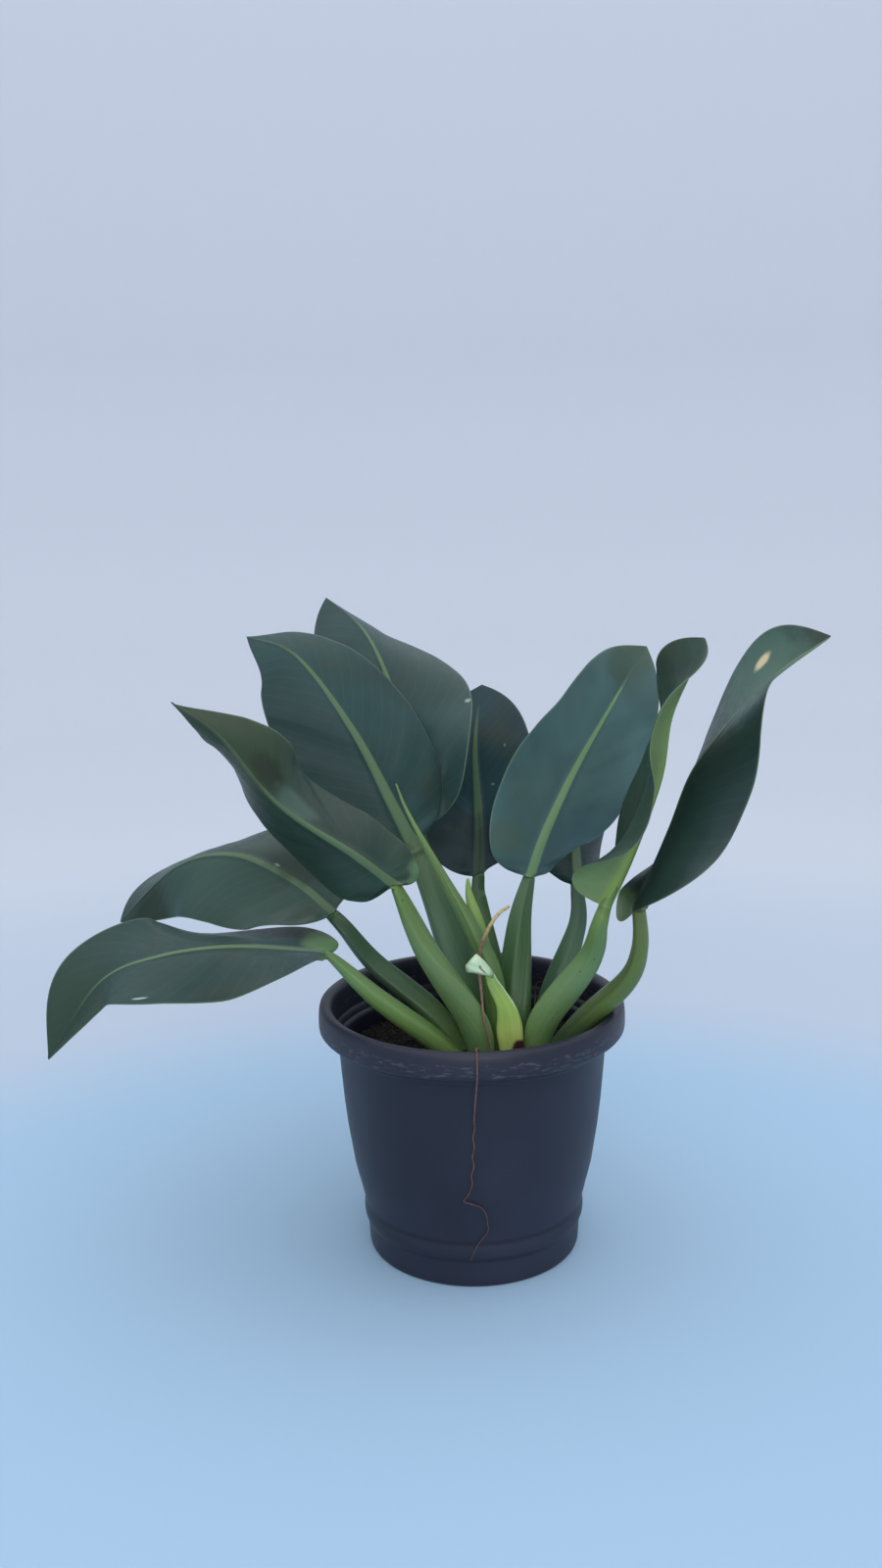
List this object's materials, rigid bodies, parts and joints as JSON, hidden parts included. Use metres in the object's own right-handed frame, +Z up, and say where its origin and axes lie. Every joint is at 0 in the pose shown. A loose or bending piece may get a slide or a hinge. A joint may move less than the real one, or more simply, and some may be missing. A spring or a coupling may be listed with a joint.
{
  "type": "potted philodendron plant",
  "caption": "Compact foliage plant with long undivided pointed leaves on thick swollen stalks, a rolled new leaf and roots, in a round tapered nursery pot with a rolled rim.",
  "frame": {"origin": "middle of the pot's underside, on the surface that it stands on", "axes": "+Z up. -Y is the side the plant is looked at from, +X is to that viewer's right, along the widest spread of the leaves"},
  "size_m": [0.5154, 0.3002, 0.45],
  "materials": {
    "pot": "satin black, scuffed at the rim",
    "soil": "matte crumbly potting soil",
    "crown": "matte green-brown stem",
    "blade": "satin dark green leaf",
    "stalk": "satin mid-green stalk",
    "spear": "satin light green",
    "cataphyll": "satin pale yellow-green, brown at the foot",
    "root": "matte brown"
  },
  "bodies": {
    "root": {"pot": "pot", "soil": "soil", "crown": "crown", "leaf_01_blade": "blade", "leaf_01_stalk": "stalk", "leaf_02_blade": "blade", "leaf_02_stalk": "stalk", "leaf_03_blade": "blade", "leaf_03_stalk": "stalk", "leaf_04_blade": "blade", "leaf_04_stalk": "stalk", "leaf_05_blade": "blade", "leaf_05_stalk": "stalk", "leaf_06_blade": "blade", "leaf_06_stalk": "stalk", "leaf_07_blade": "blade", "leaf_07_stalk": "stalk", "leaf_08_blade": "blade", "leaf_08_stalk": "stalk", "leaf_09_blade": "blade", "leaf_09_stalk": "stalk", "leaf_10_blade": "blade", "leaf_10_stalk": "stalk", "spear": "spear", "spear_sheath": "spear", "cataphyll": "cataphyll", "aerial_root": "root", "hanging_root": "root"}
  },
  "joints": []
}
